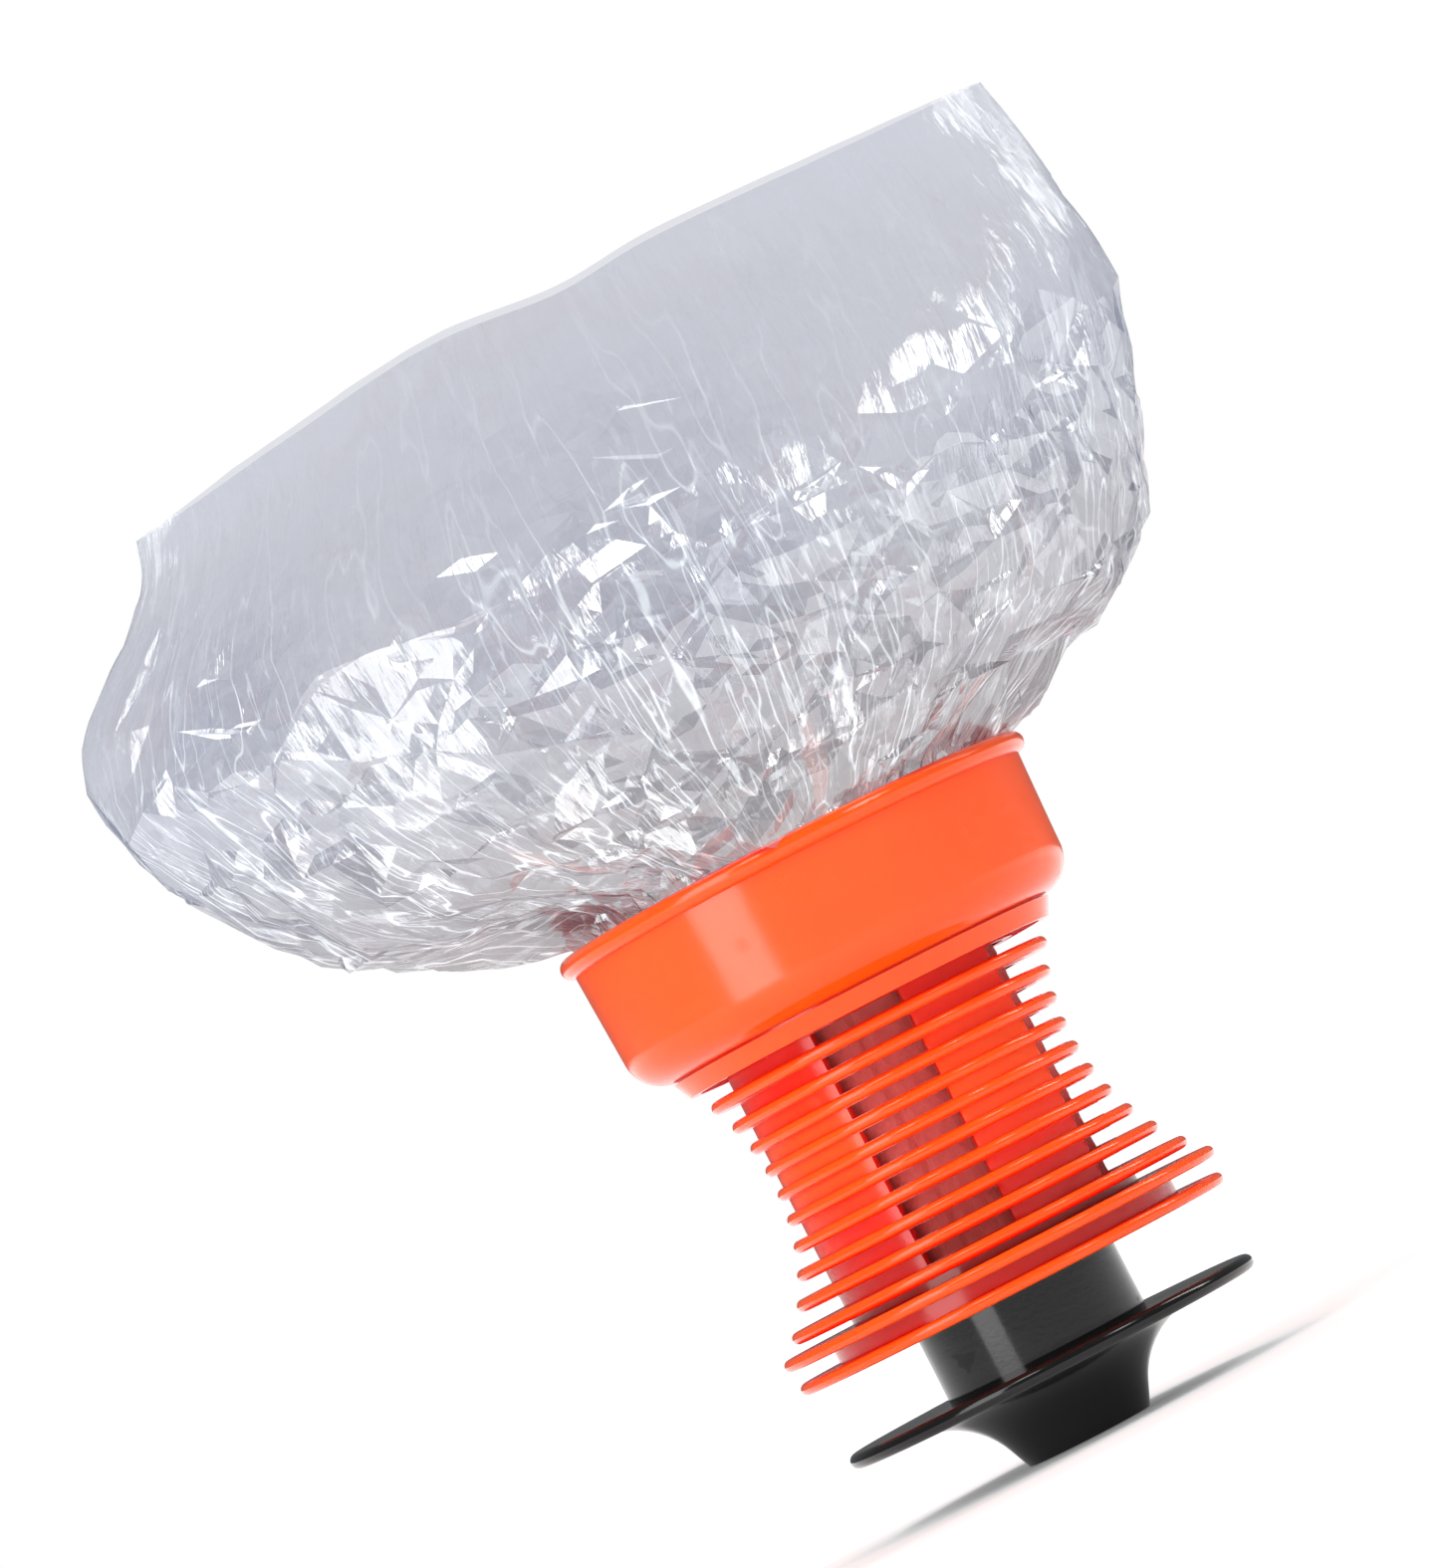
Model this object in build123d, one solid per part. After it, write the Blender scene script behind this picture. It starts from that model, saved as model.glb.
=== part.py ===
"""Hand-held smoke escape hood: a clear film hood gathered into an orange cup, on a finned, slotted
filter canister with a black outlet horn that slides and turns in its foot.

Frame: millimetres, +Z up along the canister's axis, origin at the centre of the horn's open lower end,
with the horn pulled out. The hood stands above the cup, wide along X and flattened along Y towards its
neck opening.

Air comes in between the fins, through the windows, felt sleeve, carbon and catalyst, up round the
exhaust tube, past the inhale valve and into the mouthpiece. Breath goes down the exhaust tube and past
the exhale valve.
"""

from build123d import *
import math
import os

os.makedirs("parts", exist_ok=True)

# ---------------------------------------------------------------- clearances
running = 0.08  # between a sliding or turning piece and its bore, on the radius
loose = 0.2  # between pieces that only drop into place, on the radius
touch_gap = 0.1  # between a fixed piece and what it faces
over = 1.0  # how far a cutter runs past the faces that it cuts

# ---------------------------------------------------------------- outlet horn
outlet_radius = 11.0  # bore that takes a 22 mm breathing-hose end
outlet_length = 6.0
outlet_cone_length = 7.0  # from the outlet bore up to the tube's bore
horn_lip_radius = 12.8
horn_neck_height = 4.5
horn_neck_lean = 24.0  # degrees, of the neck's cone before it flares
flare_height = 14.4
disc_radius = 42.9
disc_thickness = 3.0
disc_rise = 0.7  # the disc is this much thicker at the tube
tube_radius = 20.9
tube_wall = 1.8
horn_travel = 12.0
parked_gap = 1.1  # left between disc and foot with the horn pushed home
stop_ring_thickness = 1.5
stop_ring_rise = 0.2
stop_ring_bite = 0.6
stop_ring_gap_angle = 14.0
tube_end_land = 1.0  # of tube above the stop ring's groove
tube_end_room = 1.9  # above the tube's end with the horn pushed home

# ---------------------------------------------------------------- foot (base cap)
foot_flange_radius = 45.0
foot_groove_radius = 36.0
foot_groove_height = 2.9
foot_spigot_height = 4.5
collar_wall = 2.9
collar_guide_height = 12.7
collar_wide_wall = 1.2  # above the ledge that stops the horn
seal_section = 0.85
seal_height = 6.0

# ---------------------------------------------------------------- finned cage
fin_thickness = 2.4
fin_pitch = 5.1
fin_count = 10
lowest_gap = 1.6  # between the cage's own flange and the first fin
highest_gap = 2.7  # between the last fin and the cup's skirt
cage_flange_radius = 45.8
air_gap = 2.2  # between felt sleeve and cage wall
core_wall = 2.1
waist_fin_height = 1.6  # how far the slimmest fin stands out of the cage wall
waist_from_top = 3.5  # in fin pitches, below the top fin
waist_arc_radius = 44.0
# Middle and width of each column of windows, degrees about +Z from +X.
window_columns = [(-96.5, 36.0), (0.0, 73.0), (96.5, 36.0)]
window_margin = 0.15
top_flange_width = 5.6

# ---------------------------------------------------------------- cup
skirt_height = 3.1
skirt_wall = 2.0
skirt_taper = 1.8
skirt_ledge = 0.5  # height of the skirt's top edge above the cage
crease = 0.4  # shadow line between skirt and shoulder
cup_floor = 2.4
cup_wall = 2.0
shoulder_radius = 7.6
shoulder_step = 6.6  # from the skirt out to the wall above the shoulder
cup_draft = 0.9
cup_depth = 26.9  # floor to the middle of the rolled rim
rim_roll_radius = 2.0
port_radius = 16.0

# ---------------------------------------------------------------- filter cartridge
felt_thickness = 2.1
plate_thickness = 1.5
screen_wall = 0.6
screen_slot_width = 1.6
screen_slot_margin = 2.9
screen_slot_pitch = 6.3  # round the screen
carbon_thickness = 6.6
catalyst_thickness = 4.4
gasket_inset = 2.0
gasket_width = 4.0

# ---------------------------------------------------------------- valves and breathing parts
exhaust_radius = 6.5
exhaust_wall = 1.0
exhaust_drop = 5.5  # below the cartridge
valve_disc_thickness = 0.8
valve_lift = 1.4
valve_stop_gap = 0.2
valve_seat_gap = 0.02
valve_seat_width = 0.8
valve_side_gap = 2.0  # round a disc's edge, for the air to pass
inhale_port_radius = 10.6
hub_wall = 1.1
spoke_width = 2.0
valve_plate_thickness = 3.0
valve_plate_rim = 1.1
valve_plate_inset = 1.5  # from the cage's bore
spigot_wall = 1.5
spigot_height = 8.0
guard_thickness = 1.2
guard_wall = 0.9
exhale_seat_height = 2.5
exhale_seat_width = 1.9
guide_pin_radius = 1.0

# ---------------------------------------------------------------- mouthpiece
mouth_wall = 1.6
mouth_neck_height = 10.0
lip_half_length = 27.0
lip_half_width = 18.0
lip_thickness = 2.0
bite_half_length = 15.0
bite_half_width = 8.0
bite_height = 7.2
bite_wall = 2.2
bite_end_wall = 2.8
lug_length = 5.0
lug_width = 7.0
lug_height = 2.4
lug_overhang = 1.5

# ---------------------------------------------------------------- clamp ring and screws
clamp_overlap = 2.8
clamp_thickness = 2.0
clamp_land = 0.7  # outside the screw heads
screw_count = 6
screw_radius = 1.2
screw_head_radius = 2.3
screw_head_height = 1.6
screw_head_round = 0.7
screw_slot_width = 0.6
screw_slot_depth = 0.7
screw_slot_inset = 0.6
screw_inset = 1.3  # from the cage's outer wall to the screw circle
screw_end_gap = 0.8

# ---------------------------------------------------------------- hood
film_wall = 1.0
film_lift = 0.3  # of the skin's foot above the cup's floor
film_foot_gap = 1.2  # between clamp ring and skin
film_lip_overlap = 1.0  # of the flat lip past the clamp ring
film_lip_gap = 0.6  # between the valve plate's rim and the lip
film_shoulder_height = 6.2
film_shoulder_gap = 2.8
film_rim_gap = 1.1
film_over_rim = 1.2
film_rim_spread = 1.7
hood_left = 116.0
hood_right = 104.0
hood_half_depth = 56.0
hood_height = 118.0  # from the rim's middle to the neck opening
# Shares of hood height, left, right and half depth, from the rim to the neck opening.
hood_sections = [
    (0.08, 0.57, 0.55, 0.86),
    (0.17, 0.74, 0.83, 0.94),
    (0.30, 0.88, 0.94, 1.00),
    (0.43, 0.95, 0.955, 0.99),
    (0.56, 1.00, 0.98, 0.90),
    (0.68, 0.957, 1.00, 0.73),
    (0.81, 0.845, 0.99, 0.48),
    (0.93, 0.74, 0.97, 0.25),
    (1.00, 0.72, 0.94, 0.15),
]

# ---------------------------------------------------------------- heights that follow
disc_z = flare_height
foot_z = disc_z + disc_thickness + disc_rise + parked_gap + horn_travel
groove_z = foot_z + fin_thickness
cage_z = groove_z + foot_groove_height
first_fin_z = cage_z + fin_thickness + lowest_gap + fin_thickness / 2
top_fin_z = first_fin_z + (fin_count - 1) * fin_pitch
skirt_z = top_fin_z + fin_thickness / 2 + highest_gap
cage_top_z = skirt_z + skirt_height
floor_z = cage_top_z + cup_floor
rim_z = floor_z + cup_depth
ledge_z = foot_z + collar_guide_height
stop_groove_z = ledge_z + stop_ring_rise
tube_top_z = stop_groove_z + stop_ring_thickness + tube_end_land
collar_top_z = tube_top_z + horn_travel + tube_end_room
waist_z = top_fin_z - waist_from_top * fin_pitch
mouth_z = floor_z + valve_plate_thickness
clamp_z = floor_z + valve_plate_rim + touch_gap
plate_z = collar_top_z + touch_gap
bed_low = plate_z + plate_thickness
bed_high = cage_top_z - gasket_inset - plate_thickness
exhale_z = plate_z - exhaust_drop
exhaust_top_z = mouth_z + valve_disc_thickness + valve_lift

# ---------------------------------------------------------------- radii that follow
guide_radius = tube_radius + running
collar_radius = tube_radius + collar_wall
wide_bore = collar_radius - collar_wide_wall
felt_inner = collar_radius + loose
felt_outer = felt_inner + felt_thickness
core_inner = felt_outer + air_gap
core_radius = core_inner + core_wall
waist_radius = core_radius + waist_fin_height
top_flange_radius = core_radius + top_flange_width
skirt_inner = top_flange_radius + loose
skirt_outer = skirt_inner + skirt_wall
cup_low_radius = skirt_outer + skirt_taper + shoulder_step
cup_top_radius = cup_low_radius + cup_draft
screw_circle = core_radius + screw_inset
valve_plate_radius = core_inner - valve_plate_inset
clamp_inner = valve_plate_radius - clamp_overlap
clamp_outer = screw_circle + screw_head_radius + clamp_land
inhale_disc_radius = inhale_port_radius + valve_seat_width
spigot_inner = inhale_disc_radius + valve_side_gap
spigot_outer = spigot_inner + spigot_wall
exhale_disc_radius = exhaust_radius + exhale_seat_width
exhale_guard_bore = exhale_disc_radius + valve_side_gap
exhale_seat_radius = exhale_guard_bore + guard_wall
carbon_outer = collar_radius - screen_wall
carbon_inner = carbon_outer - carbon_thickness
catalyst_outer = carbon_inner - screen_wall
catalyst_inner = catalyst_outer - catalyst_thickness
inner_screen_bore = catalyst_inner - screen_wall


# ---------------------------------------------------------------- shape helpers
def turned(*edges):
    """A solid of revolution about Z from a closed outline of edges in the XZ plane."""
    return revolve(make_face(Curve() + list(edges)), Axis.Z)


def outline(*points):
    """Straight edges through (radius, height) points, as a path in the XZ plane."""
    return Polyline(*[(r, 0, z) for r, z in points])


def turned_points(*points):
    """A solid of revolution from straight edges only."""
    return turned(outline(*points, points[0]))


def ring(inner, outer, low, high):
    """A plain tube, washer or, with no inner radius, a disc."""
    body = Pos(0, 0, (low + high) / 2) * Cylinder(outer, high - low)
    if inner <= 0:
        return body
    return body - Pos(0, 0, (low + high) / 2) * Cylinder(inner, high - low + over)


def arc(start, middle, end):
    """An arc through three (radius, height) points in the XZ plane."""
    return ThreePointArc(*[(r, 0, z) for r, z in (start, middle, end)])


def round_edged_disc(inner, radius, middle_z, thickness):
    """A flange or fin whose outer edge is a full round."""
    half = thickness / 2
    return turned(
        outline(
            (radius - half, middle_z + half),
            (inner, middle_z + half),
            (inner, middle_z - half),
            (radius - half, middle_z - half),
        ),
        arc((radius - half, middle_z - half), (radius, middle_z), (radius - half, middle_z + half)),
    )


def around(shape, count, start=0.0):
    """Copies of a shape, evenly spaced about Z."""
    return [Rot(0, 0, start + i * 360.0 / count) * shape for i in range(count)]


def elliptic(half_x, half_y, low, high):
    """An elliptical prism."""
    return Pos(0, 0, low) * extrude(Ellipse(half_x, half_y), high - low)


def fin_radius(z):
    """The fins' tips lie on an arc, slimmest at the waist."""
    rise = z - waist_z
    return waist_radius + waist_arc_radius - math.sqrt(waist_arc_radius**2 - rise**2)


# ---------------------------------------------------------------- outlet horn
def make_outlet_horn():
    """Tube, disc and trumpet flare in one black moulding, bored through."""
    half = disc_thickness / 2
    disc_top = disc_z + disc_thickness
    groove_high = stop_groove_z + stop_ring_thickness
    groove_radius = tube_radius - stop_ring_bite
    bore = tube_radius - tube_wall
    lean = math.radians(horn_neck_lean)
    neck_radius = horn_lip_radius + horn_neck_height * math.tan(lean)
    flare_radius = (flare_height - horn_neck_height) / (1 - math.sin(lean))
    flare_start = neck_radius + flare_radius * math.cos(lean)
    middle = (lean + math.pi / 2) / 2
    flare_middle = (
        flare_start - flare_radius * math.cos(middle),
        disc_z - flare_radius * (1 - math.sin(middle)),
    )
    return turned(
        outline(
            (disc_radius - half, disc_top),
            (tube_radius, disc_top + disc_rise),
            (tube_radius, stop_groove_z),
            (groove_radius, stop_groove_z),
            (groove_radius, groove_high),
            (tube_radius, groove_high),
            (tube_radius, tube_top_z),
            (bore, tube_top_z),
            (bore, outlet_length + outlet_cone_length),
            (outlet_radius, outlet_length),
            (outlet_radius, 0),
            (horn_lip_radius, 0),
            (neck_radius, horn_neck_height),
        ),
        arc((neck_radius, horn_neck_height), flare_middle, (flare_start, disc_z)),
        outline((flare_start, disc_z), (disc_radius - half, disc_z)),
        arc((disc_radius - half, disc_z), (disc_radius, disc_z + half), (disc_radius - half, disc_top)),
    )


def make_horn_stop_ring():
    """Split spring ring in the tube's groove. It stops the horn at the ledge, and the tube turns in it."""
    low = stop_groove_z + touch_gap / 2
    high = low + stop_ring_thickness - touch_gap
    inner = tube_radius - stop_ring_bite + running
    outer = wide_bore - loose
    gap = 2 * outer * math.sin(math.radians(stop_ring_gap_angle / 2))
    cutter = Box(2 * (outer - inner), gap, 2 * stop_ring_thickness)
    return ring(inner, outer, low, high) - Pos((inner + outer) / 2, 0, low) * cutter


# ---------------------------------------------------------------- foot and its seal
def make_base_cap():
    """Bottom flange, groove, spigot into the cage and the long collar that guides the horn."""
    seal_z = foot_z + seal_height
    seal_centre = tube_radius + running + seal_section
    seal_half = seal_section + touch_gap
    flange = round_edged_disc(guide_radius, foot_flange_radius, foot_z + fin_thickness / 2, fin_thickness)
    spigot_bore = felt_outer + touch_gap
    spigot_radius = core_inner - touch_gap
    spigot_top = cage_z + foot_spigot_height
    spigot = turned_points(
        (spigot_bore, groove_z),
        (foot_groove_radius, groove_z),
        (foot_groove_radius, cage_z),
        (spigot_radius, cage_z),
        (spigot_radius, spigot_top),
        (spigot_bore, spigot_top),
    )
    collar = turned_points(
        (guide_radius, groove_z),
        (collar_radius, groove_z),
        (collar_radius, collar_top_z),
        (wide_bore, collar_top_z),
        (wide_bore, ledge_z),
        (guide_radius, ledge_z),
    )
    groove = ring(guide_radius - over, seal_centre + seal_half, seal_z - seal_half, seal_z + seal_half)
    return flange + spigot + collar - groove


def make_horn_seal():
    """O-ring in the collar that grips the horn's tube."""
    return Pos(0, 0, foot_z + seal_height) * Torus(guide_radius + seal_section, seal_section)


# ---------------------------------------------------------------- finned cage
def make_finned_cage():
    """Slotted tube with its fins, a bottom flange and a top flange that the cup's skirt hides."""
    tube = ring(core_inner, core_radius, cage_z, cage_top_z)
    bottom = round_edged_disc(core_inner, cage_flange_radius, cage_z + fin_thickness / 2, fin_thickness)
    top = ring(core_inner, top_flange_radius, cage_top_z - cup_floor, cage_top_z)
    fin_heights = [first_fin_z + i * fin_pitch for i in range(fin_count)]
    fins = [round_edged_disc(core_inner, fin_radius(z), z, fin_thickness) for z in fin_heights]
    body = tube + [bottom, top] + fins
    floors = [z + fin_thickness / 2 for z in fin_heights]
    ceilings = [z - fin_thickness / 2 for z in fin_heights[1:]] + [skirt_z]
    cutters = []
    for low, high in zip(floors, ceilings):
        face = Plane.XZ * Pos((core_inner + core_radius) / 2, (low + high) / 2) * Rectangle(
            2 * core_wall, high - low - 2 * window_margin
        )
        for middle, width in window_columns:
            cutters.append(Rot(0, 0, middle - width / 2) * revolve(face, Axis.Z, width))
    body -= cutters
    screw_hole = Pos(screw_circle, 0, cage_top_z - cup_floor / 2) * Cylinder(screw_radius, 2 * cup_floor)
    return body - around(screw_hole, screw_count)


# ---------------------------------------------------------------- cup
def make_storage_cup():
    """The cup that the folded hood is packed in: rolled rim, rounded shoulder, skirt and ported floor."""
    centre_r = cup_low_radius - shoulder_radius
    ledge = cage_top_z + skirt_ledge
    shoulder_low = (centre_r, ledge + crease)
    centre_z = shoulder_low[1] + shoulder_radius
    inner_radius = centre_z - floor_z
    turn = math.sqrt(0.5)
    top_inner = cup_top_radius - cup_wall
    body = turned(
        outline(
            shoulder_low,
            (centre_r, ledge),
            (skirt_outer + skirt_taper, ledge),
            (skirt_outer, skirt_z),
            (skirt_inner, skirt_z),
            (skirt_inner, cage_top_z),
            (port_radius, cage_top_z),
            (port_radius, floor_z),
            (centre_r, floor_z),
        ),
        arc(
            (centre_r, floor_z),
            (centre_r + inner_radius * turn, centre_z - inner_radius * turn),
            (centre_r + inner_radius, centre_z),
        ),
        outline(
            (centre_r + inner_radius, centre_z),
            (top_inner, rim_z),
            (cup_top_radius, rim_z),
            (cup_low_radius, centre_z),
        ),
        arc(
            (cup_low_radius, centre_z),
            (centre_r + shoulder_radius * turn, centre_z - shoulder_radius * turn),
            shoulder_low,
        ),
    )
    body += Pos(0, 0, rim_z) * Torus(cup_top_radius, rim_roll_radius)
    screw_hole = Pos(screw_circle, 0, floor_z - cup_floor / 2) * Cylinder(screw_radius + loose, 2 * cup_floor)
    return body - around(screw_hole, screw_count)


# ---------------------------------------------------------------- filter cartridge
def make_screen(inner):
    """A thin tube with a band of upright slots, so that air passes."""
    tube = ring(inner, inner + screen_wall, bed_low, bed_high)
    slot = Box(2 * screen_wall + over, screen_slot_width, bed_high - bed_low - 2 * screen_slot_margin)
    slot_count = round(2 * math.pi * inner / screen_slot_pitch)
    return tube - around(Pos(inner, 0, (bed_low + bed_high) / 2) * slot, slot_count)


def make_cartridge_plate(low):
    """End plate of the cartridge, open round the exhaust tube."""
    return ring(inner_screen_bore, collar_radius, low, low + plate_thickness)


def make_cartridge_bottom():
    """The lower plate also closes the space round the exhaust tube."""
    return ring(exhaust_radius + touch_gap, collar_radius, plate_z, plate_z + plate_thickness)


def make_top_gasket():
    """Foam washer between cartridge and cup floor."""
    middle = (port_radius + collar_radius) / 2
    return ring(middle - gasket_width / 2, middle + gasket_width / 2, bed_high + plate_thickness, cage_top_z)


# ---------------------------------------------------------------- exhaust tube and exhale valve
def make_exhaust_tube():
    """Straight tube from the mouthpiece down to the horn. Its top end guides the inhale disc."""
    return ring(exhaust_radius - exhaust_wall, exhaust_radius, exhale_z, exhaust_top_z)


def make_exhale_seat():
    """Ring pressed on the tube's lower end, flush with it, that the disc seals against."""
    return ring(exhaust_radius, exhale_seat_radius, exhale_z, exhale_z + exhale_seat_height)


def make_exhale_disc():
    """Silicone disc on the guard's pin."""
    top = exhale_z - valve_seat_gap
    return ring(guide_pin_radius + running, exhale_disc_radius, top - valve_disc_thickness, top)


def make_exhale_guard():
    """Open basket under the disc: rim, cross and guide pin."""
    cross_top = exhale_z - valve_disc_thickness - valve_lift - valve_stop_gap
    cross_low = cross_top - guard_thickness
    rim = ring(exhale_guard_bore, exhale_seat_radius, cross_low, exhale_z)
    bar_length = 2 * exhale_seat_radius - guard_wall
    bar = Pos(0, 0, (cross_low + cross_top) / 2) * Box(bar_length, spoke_width, guard_thickness)
    pin = ring(0, guide_pin_radius, cross_low, exhale_z + valve_disc_thickness)
    return rim + [bar, Rot(0, 0, 90) * bar, pin]


# ---------------------------------------------------------------- valve plate and inhale valve
def make_valve_plate():
    """Plate over the cup's port: spoked hub round the exhaust tube and the spigot for the mouthpiece."""
    plate = turned_points(
        (inhale_port_radius, floor_z),
        (valve_plate_radius, floor_z),
        (valve_plate_radius, floor_z + valve_plate_rim),
        (clamp_inner - loose, floor_z + valve_plate_rim),
        (clamp_inner - loose, mouth_z),
        (spigot_outer, mouth_z),
        (spigot_outer, mouth_z + spigot_height),
        (spigot_inner, mouth_z + spigot_height),
        (spigot_inner, mouth_z),
        (inhale_port_radius, mouth_z),
    )
    hub = ring(exhaust_radius, exhaust_radius + hub_wall, floor_z, mouth_z)
    start = exhaust_radius + hub_wall / 2
    reach = inhale_port_radius + valve_seat_width - start
    spoke_height = valve_plate_thickness - valve_disc_thickness
    spoke = Pos(start + reach / 2, 0, floor_z + spoke_height / 2) * Box(reach, spoke_width, spoke_height)
    return plate + [hub] + around(spoke, 4, 45)


def make_inhale_disc():
    """Silicone washer that lifts off the plate's bore and hub as the wearer breathes in."""
    low = mouth_z + valve_seat_gap
    return ring(exhaust_radius + running, inhale_disc_radius, low, low + valve_disc_thickness)


def make_inhale_guard():
    """Spoked ring pressed into the spigot. It limits the disc's lift."""
    low = mouth_z + valve_disc_thickness + valve_lift + valve_stop_gap
    high = low + guard_thickness
    rim = ring(spigot_inner - guard_wall, spigot_inner, low, high)
    hub_inner = exhaust_radius - exhaust_wall
    hub = ring(hub_inner, hub_inner + 2 * hub_wall, low, high)
    start = hub_inner + hub_wall
    reach = spigot_inner - guard_wall / 2 - start
    spoke = Pos(start + reach / 2, 0, (low + high) / 2) * Box(reach, spoke_width, guard_thickness)
    return rim + [hub] + around(spoke, 3)


# ---------------------------------------------------------------- mouthpiece
def make_mouthpiece():
    """Soft neck on the spigot, oval lip flange, oval bite tube and two bite lugs."""
    neck_bore = spigot_outer + touch_gap
    neck_low = mouth_z + touch_gap
    lip_low = mouth_z + mouth_neck_height
    bite_low = lip_low + lip_thickness
    bite_top = bite_low + bite_height
    body = ring(0, neck_bore + mouth_wall, neck_low, lip_low)
    body += elliptic(lip_half_length, lip_half_width, lip_low, bite_low)
    body += elliptic(bite_half_length, bite_half_width, bite_low, bite_top)
    lug = Box(lug_length, lug_width, lug_height)
    lug_x = bite_half_length + lug_overhang - lug_length / 2
    body += around(Pos(lug_x, 0, bite_top - lug_height / 2) * lug, 2)
    body -= ring(0, neck_bore, neck_low - over, mouth_z + spigot_height + touch_gap)
    body -= elliptic(bite_half_length - bite_end_wall, bite_half_width - bite_wall, neck_low, bite_top + over)
    return body


# ---------------------------------------------------------------- clamp ring and screws
def make_clamp_ring():
    """Presses the hood's inner edge and the valve plate's rim onto the cup floor."""
    body = ring(clamp_inner, clamp_outer, clamp_z, clamp_z + clamp_thickness)
    hole = Pos(screw_circle, 0, clamp_z) * Cylinder(screw_radius + loose, 3 * clamp_thickness)
    return body - around(hole, screw_count)


def make_clamp_screws():
    """Pan-head screws through ring, film and cup floor into the cage's top flange."""
    head_z = clamp_z + clamp_thickness
    tip_z = cage_top_z - cup_floor + screw_end_gap
    shank = ring(0, screw_radius, tip_z, head_z)
    head = ring(0, screw_head_radius, head_z, head_z + screw_head_height)
    head = fillet(head.edges().sort_by(Axis.Z)[-1], screw_head_round)
    slot_length = 2 * (screw_head_radius - screw_slot_inset)
    slot = Pos(0, 0, head_z + screw_head_height) * Box(slot_length, screw_slot_width, 2 * screw_slot_depth)
    screw = (shank + head) - [slot, Rot(0, 0, 90) * slot]
    return Compound(around(Pos(screw_circle, 0, 0) * screw, screw_count))


# ---------------------------------------------------------------- hood
def hood_skin(inset):
    """The hood's outline as stacked sections, each an ellipse, moved in by an inset: its solid inside."""
    top_inner = cup_top_radius - cup_wall
    rounds = [
        (floor_z + film_lift, clamp_outer + film_foot_gap),
        (floor_z + film_shoulder_height, top_inner - film_shoulder_gap),
        (rim_z, top_inner - film_rim_gap),
        (rim_z + rim_roll_radius + film_over_rim, top_inner + film_rim_spread),
    ]
    stations = [(z, r, r, r) for z, r in rounds]
    for height, left, right, depth in hood_sections:
        stations.append(
            (rim_z + height * hood_height, left * hood_left, right * hood_right, depth * hood_half_depth)
        )
    if inset:
        lowest, highest = stations[0], stations[-1]
        stations = [(floor_z - over, *lowest[1:]), *stations, (highest[0] + over, *highest[1:])]
    wires = []
    for z, left, right, depth in stations:
        middle = (right - left) / 2
        half_width = (right + left) / 2
        wires.append(Pos(middle, 0, z) * Ellipse(half_width - inset, depth - inset))
    return loft(wires, ruled=True)


def make_hood_panel(side):
    """Front (-1) or back (+1) film panel, from the clamp ring through the cup to the open neck edge. The
    two are welded together along their side edges, at y = 0."""
    lip_low = floor_z + touch_gap
    lip_bore = valve_plate_radius + film_lip_gap
    lip = ring(lip_bore, clamp_outer + film_lip_overlap, lip_low, clamp_z - touch_gap)
    hole = Pos(screw_circle, 0, lip_low) * Cylinder(screw_radius + loose, 4 * valve_plate_rim)
    shell = hood_skin(0) - hood_skin(film_wall)
    hood = shell + (lip - around(hole, screw_count))
    reach = 2 * (hood_left + hood_right + hood_height)
    return hood & (Pos(0, side * reach / 2, 0) * Box(reach, reach, reach))


# ---------------------------------------------------------------- write every piece
pieces = {
    "hood_front_panel": lambda: make_hood_panel(-1),
    "hood_back_panel": lambda: make_hood_panel(1),
    "hood_clamp_ring": make_clamp_ring,
    "clamp_screws": make_clamp_screws,
    "storage_cup": make_storage_cup,
    "finned_cage": make_finned_cage,
    "base_cap": make_base_cap,
    "horn_seal": make_horn_seal,
    "outlet_horn": make_outlet_horn,
    "horn_stop_ring": make_horn_stop_ring,
    "felt_sleeve": lambda: ring(felt_inner, felt_outer, groove_z, cage_top_z),
    "cartridge_bottom_plate": make_cartridge_bottom,
    "cartridge_top_plate": lambda: make_cartridge_plate(bed_high),
    "outer_screen": lambda: make_screen(carbon_outer),
    "carbon_bed": lambda: ring(carbon_inner, carbon_outer, bed_low, bed_high),
    "middle_screen": lambda: make_screen(catalyst_outer),
    "catalyst_bed": lambda: ring(catalyst_inner, catalyst_outer, bed_low, bed_high),
    "inner_screen": lambda: make_screen(inner_screen_bore),
    "top_gasket": make_top_gasket,
    "exhaust_tube": make_exhaust_tube,
    "exhale_valve_seat": make_exhale_seat,
    "exhale_valve_disc": make_exhale_disc,
    "exhale_valve_guard": make_exhale_guard,
    "valve_plate": make_valve_plate,
    "inhale_valve_disc": make_inhale_disc,
    "inhale_valve_guard": make_inhale_guard,
    "mouthpiece": make_mouthpiece,
}

for name, make in pieces.items():
    export_step(make(), f"parts/{name}.step")
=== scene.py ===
import bpy
import math
import numpy as np
from mathutils import Matrix, Vector
from mathutils.geometry import delaunay_2d_cdt


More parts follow.
